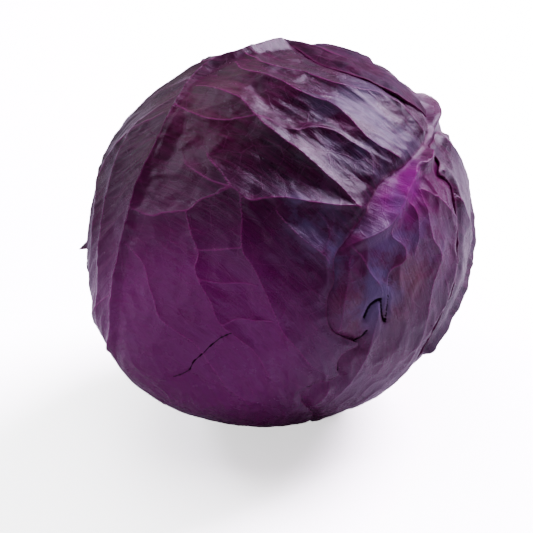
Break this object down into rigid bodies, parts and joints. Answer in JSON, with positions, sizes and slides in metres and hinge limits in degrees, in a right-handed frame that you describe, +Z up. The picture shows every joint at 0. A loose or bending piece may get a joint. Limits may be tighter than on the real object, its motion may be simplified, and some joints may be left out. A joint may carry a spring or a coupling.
{
  "type": "cabbage head",
  "caption": "Head of red cabbage lying on its side, with overlapping ribbed wrapper leaves, a packed heart and a cut stem.",
  "frame": {"origin": "middle of the small flat spot that the head rests on", "axes": "+Z up; the front, as seen in the picture, faces -Y; the cut stem points up to the right and back (+X +Y +Z)"},
  "size_m": [0.1698, 0.1672, 0.1581],
  "materials": {
    "leaf": "dark aubergine leaf with a waxy cuticle and magenta ribs",
    "heart": "paler purple inner leaves, packed tight",
    "stem": "pale fibrous cut stem"
  },
  "bodies": {
    "root": {"heart": "heart", "stem": "stem", "rear_leaf": "leaf", "left_leaf": "leaf", "right_leaf": "leaf", "lower_leaf": "leaf", "front_leaf": "leaf", "side_leaf": "leaf", "back_leaf": "leaf"}
  },
  "joints": []
}
